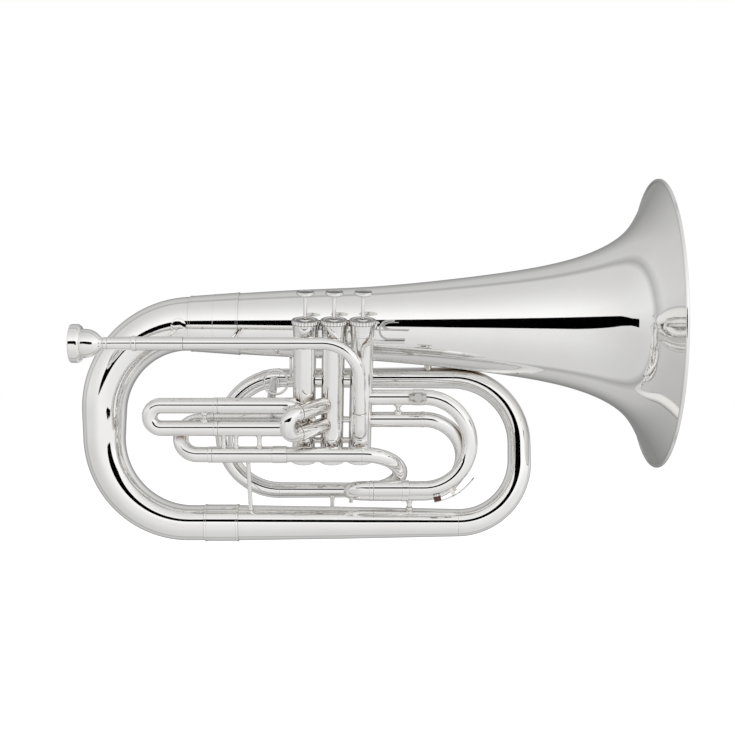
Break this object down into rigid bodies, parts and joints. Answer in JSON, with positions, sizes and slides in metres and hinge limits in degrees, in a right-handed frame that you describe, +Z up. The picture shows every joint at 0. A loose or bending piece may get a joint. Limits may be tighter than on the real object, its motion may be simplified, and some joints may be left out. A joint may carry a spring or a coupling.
{
  "type": "marching euphonium",
  "caption": "Forward-facing brass euphonium with upright piston valves, a wide flared bell, pull-out tuning slides, a removable mouthpiece and a drain key.",
  "frame": {"origin": "centre of the bell mouth, in the plane of its front edge", "axes": "+X out of the bell along its axis, +Z up towards the finger buttons' side of the valves, -Y towards the side that carries the valves and leadpipe"},
  "size_m": [0.5832, 0.292, 0.3671],
  "materials": {
    "cork": "dark red-brown ribbed pad",
    "piston_metal": "lapped nickel alloy",
    "silver_plate": "bright silver plate, mirror polished",
    "spring_steel": "drawn spring wire"
  },
  "bodies": {
    "horn": {"bell": "silver_plate", "bell_rim": "silver_plate", "bell_ferrule": "silver_plate", "big_bow": "silver_plate", "lower_ferrule": "silver_plate", "bottom_branch": "silver_plate", "right_bow": "silver_plate", "top_branch": "silver_plate", "inner_bow": "silver_plate", "small_ferrules": "silver_plate", "spiral_tube": "silver_plate", "u_turn": "silver_plate", "long_tube": "silver_plate", "main_slide_sleeves": "silver_plate", "first_slide_sleeves": "silver_plate", "second_slide_sleeves": "silver_plate", "second_slide_brace": "silver_plate", "third_loop_outer": "silver_plate", "third_loop_inner": "silver_plate", "third_slide_sleeves": "silver_plate", "mouthpiece_receiver": "silver_plate", "leadpipe_sleeve": "silver_plate", "leadpipe": "silver_plate", "leadpipe_elbow": "silver_plate", "valve_links": "silver_plate", "top_caps": "silver_plate", "bottom_caps": "silver_plate", "bell_braces": "silver_plate", "tube_braces": "silver_plate", "finger_ring": "silver_plate", "pinky_hook": "silver_plate", "lyre_holder": "silver_plate", "water_key_nipple": "silver_plate", "water_key_saddle": "silver_plate", "water_key_pin": "spring_steel", "valve_casing_1": "silver_plate", "valve_casing_2": "silver_plate", "valve_casing_3": "silver_plate", "piston_spring_1": "spring_steel", "piston_spring_2": "spring_steel", "piston_spring_3": "spring_steel"},
    "valve_1": {"piston_1": "piston_metal", "piston_stem_1": "piston_metal", "finger_button_1": "silver_plate"},
    "valve_2": {"piston_2": "piston_metal", "piston_stem_2": "piston_metal", "finger_button_2": "silver_plate"},
    "valve_3": {"piston_3": "piston_metal", "piston_stem_3": "piston_metal", "finger_button_3": "silver_plate"},
    "main_slide": {"main_tuning_slide": "silver_plate"},
    "first_valve_slide": {"first_slide": "silver_plate", "first_slide_brace": "silver_plate"},
    "second_valve_slide": {"second_slide": "silver_plate"},
    "third_valve_slide": {"third_slide": "silver_plate"},
    "mouthpiece": {"mouthpiece": "silver_plate"},
    "water_key": {"water_key_lever": "silver_plate", "water_key_cork": "cork"},
    "lyre_thumbscrew": {"lyre_thumbscrew": "silver_plate"}
  },
  "joints": [
    {"name": "valve_1_press", "type": "slide", "parent": "horn", "child": "valve_1", "axis": [-0.0244, 0.2923, -0.956], "range_m": [0, 0.017], "stiffness_N_per_m": 150, "deforming": ["piston_spring_1"]},
    {"name": "valve_2_press", "type": "slide", "parent": "horn", "child": "valve_2", "axis": [-0.0244, 0.2923, -0.956], "range_m": [0, 0.017], "stiffness_N_per_m": 150, "deforming": ["piston_spring_2"]},
    {"name": "valve_3_press", "type": "slide", "parent": "horn", "child": "valve_3", "axis": [-0.0244, 0.2923, -0.956], "range_m": [0, 0.017], "stiffness_N_per_m": 150, "deforming": ["piston_spring_3"]},
    {"name": "main_slide_pull", "type": "slide", "parent": "horn", "child": "main_slide", "axis": [-1, 0, 0], "range_m": [0, 0.045]},
    {"name": "first_slide_pull", "type": "slide", "parent": "horn", "child": "first_valve_slide", "axis": [-1, 0, 0], "range_m": [0, 0.04]},
    {"name": "second_slide_pull", "type": "slide", "parent": "horn", "child": "second_valve_slide", "axis": [-0.6939, -0.6933, -0.1942], "range_m": [0, 0.012]},
    {"name": "third_slide_pull", "type": "slide", "parent": "horn", "child": "third_valve_slide", "axis": [-1, 0, 0], "range_m": [0, 0.018]},
    {"name": "mouthpiece_pull", "type": "slide", "parent": "horn", "child": "mouthpiece", "axis": [-1, 0, 0], "range_m": [0, 0.04]},
    {"name": "water_key_lift", "type": "hinge", "parent": "horn", "child": "water_key", "pos_m": [-0.20898, -0.03683, -0.16858], "axis": [0, -0.9993, -0.0386], "range_deg": [0, 12]},
    {"name": "lyre_thumbscrew_turn", "type": "hinge", "parent": "horn", "child": "lyre_thumbscrew", "pos_m": [-0.2443, -0.05, -0.0738], "axis": [0, 1, 0], "continuous": true}
  ]
}
